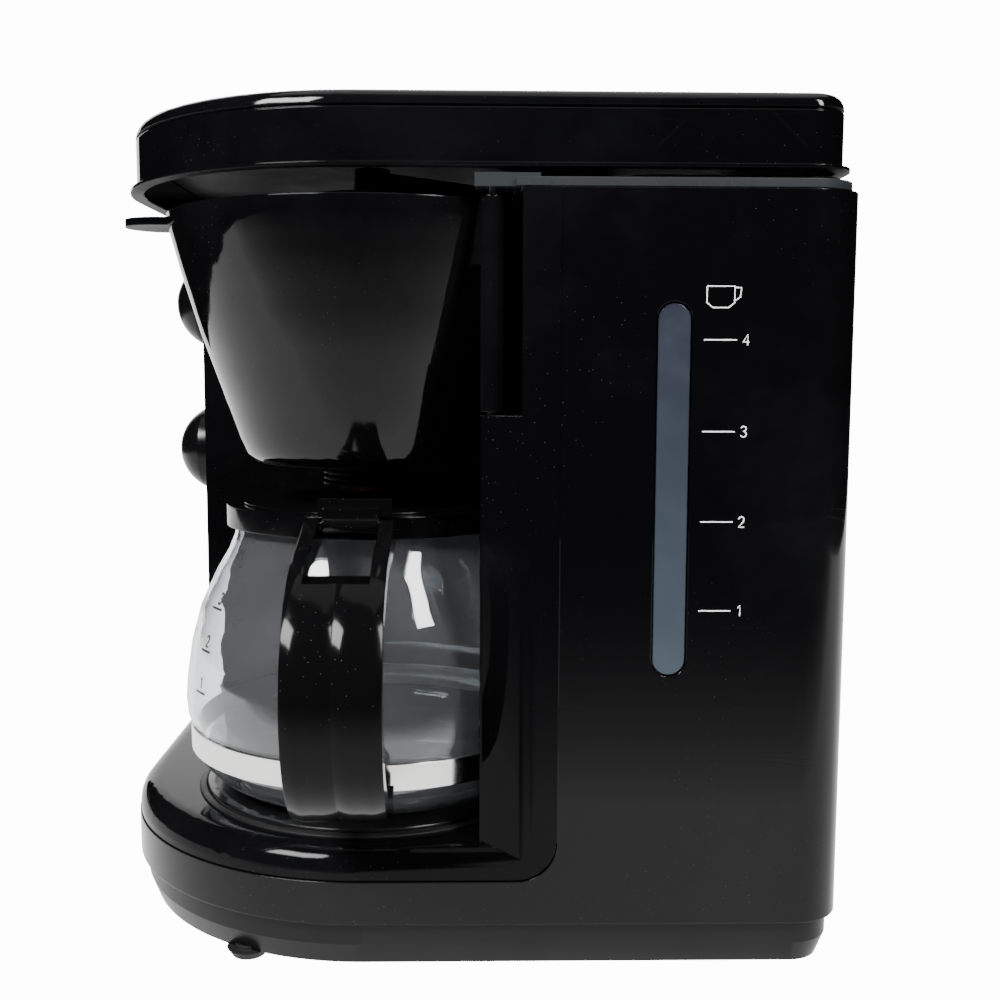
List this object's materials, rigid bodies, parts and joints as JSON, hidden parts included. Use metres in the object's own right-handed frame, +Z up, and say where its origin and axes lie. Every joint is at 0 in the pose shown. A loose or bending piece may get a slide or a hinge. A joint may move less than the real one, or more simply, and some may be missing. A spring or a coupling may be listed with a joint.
{
  "type": "drip coffee maker",
  "caption": "Drip coffee maker with a glass jug on a warming plate, a swing-out filter holder, a side tank with a level window and two rotary knobs",
  "frame": {"origin": "under the middle of the bounding box, on the table", "axes": "+Z up; -Y the front, where the holder's tab and the knobs are; +X the brew bay side, where the jug's handle points"},
  "size_m": [0.2675, 0.2736, 0.3045],
  "materials": {
    "casing_black": "high gloss",
    "liner_black": "high gloss",
    "panel_black": "gloss",
    "plinth_black": "fine texture",
    "foot_rubber": "matt",
    "screw_steel": "plated",
    "tank_grey": "translucent satin",
    "silicone_white": "satin",
    "window_clear": "clear",
    "valve_white": "satin",
    "hose_silicone": "translucent",
    "tube_white": "satin",
    "plate_black": "non-stick coating",
    "seal_black": "satin",
    "heater_aluminium": "cast",
    "bracket_steel": "plated",
    "switch_black": "moulded phenolic",
    "fuse_white": "glass-fibre sleeve",
    "block_white": "satin",
    "timer_grey": "satin",
    "shaft_steel": "ground",
    "knob_black": "gloss",
    "lid_black": "high gloss",
    "liner_matt": "satin",
    "pin_steel": "drawn wire",
    "holder_black": "high gloss",
    "insert_black": "satin",
    "cup_black": "gloss",
    "stem_red": "satin",
    "spring_steel": "drawn wire",
    "jug_glass": "clear",
    "band_steel": "polished",
    "collar_black": "gloss",
    "handle_black": "gloss",
    "jug_lid_black": "gloss"
  },
  "bodies": {
    "cabinet": {"housing": "casing_black", "bay_liner": "liner_black", "control_panel": "panel_black", "base_cover": "plinth_black", "rubber_feet": "foot_rubber", "base_screws": "screw_steel", "water_tank": "tank_grey", "tank_outlet_seal": "silicone_white", "level_window": "window_clear", "check_valve": "valve_white", "cold_hose": "hose_silicone", "hot_hose": "hose_silicone", "riser_tube": "tube_white", "spray_arm": "tank_grey", "spray_head": "tank_grey", "warming_plate": "plate_black", "plate_seal": "seal_black", "heater": "heater_aluminium", "heater_clamp": "bracket_steel", "clamp_screws": "screw_steel", "thermostat": "switch_black", "thermal_fuses": "fuse_white", "terminal_block": "block_white", "cord_inlet": "foot_rubber", "timer_unit": "timer_grey", "selector_switch": "block_white", "lid_hinge_pins": "pin_steel", "holder_hinge_pin": "pin_steel"},
    "lid": {"lid_shell": "lid_black", "lid_liner": "liner_matt"},
    "holder": {"filter_holder": "holder_black", "filter_insert": "insert_black", "valve_cup": "cup_black"},
    "drip_valve": {"valve_stem": "stem_red", "valve_seal": "silicone_white", "valve_spring": "spring_steel"},
    "jug": {"jug_glass": "jug_glass", "jug_band": "band_steel", "band_screw": "screw_steel", "jug_collar": "collar_black", "jug_handle": "handle_black", "jug_lid_pin": "pin_steel"},
    "flip_lid": {"jug_lid": "jug_lid_black"},
    "timer": {"timer_knob": "knob_black", "timer_shaft": "shaft_steel"},
    "selector": {"selector_knob": "knob_black", "selector_shaft": "shaft_steel"}
  },
  "joints": [
    {"name": "lid_hinge", "type": "hinge", "parent": "cabinet", "child": "lid", "pos_m": [-0.02575, 0.1298, 0.284], "axis": [-1, 0, 0], "range_deg": [0, 80]},
    {"name": "holder_swing", "type": "hinge", "parent": "cabinet", "child": "holder", "pos_m": [0.07275, 0.0118, 0.235], "axis": [0, 0, 1], "range_deg": [0, 95]},
    {"name": "drip_valve_lift", "type": "slide", "parent": "holder", "child": "drip_valve", "axis": [0, 0, 1], "range_m": [0, 0.003], "stiffness_N_per_m": 120, "springref_m": -0.001, "deforming": ["valve_spring"]},
    {"name": "jug_slide", "type": "slide", "parent": "cabinet", "child": "jug", "axis": [0, -1, 0], "range_m": [0, 0.4]},
    {"name": "jug_lid_hinge", "type": "hinge", "parent": "jug", "child": "flip_lid", "pos_m": [0.06525, -0.0372, 0.158], "axis": [0, 1, 0], "range_deg": [0, 20]},
    {"name": "timer_turn", "type": "hinge", "parent": "cabinet", "child": "timer", "pos_m": [-0.10575, -0.1197, 0.243], "axis": [0, -1, 0], "range_deg": [-300, 0]},
    {"name": "selector_turn", "type": "hinge", "parent": "cabinet", "child": "selector", "pos_m": [-0.10575, -0.1197, 0.174], "axis": [0, -1, 0], "range_deg": [-90, 0]}
  ],
  "couplings": [
    {"joint": "jug_lid_hinge", "follows": "jug_slide", "rad_per_m": 0.87267}
  ]
}
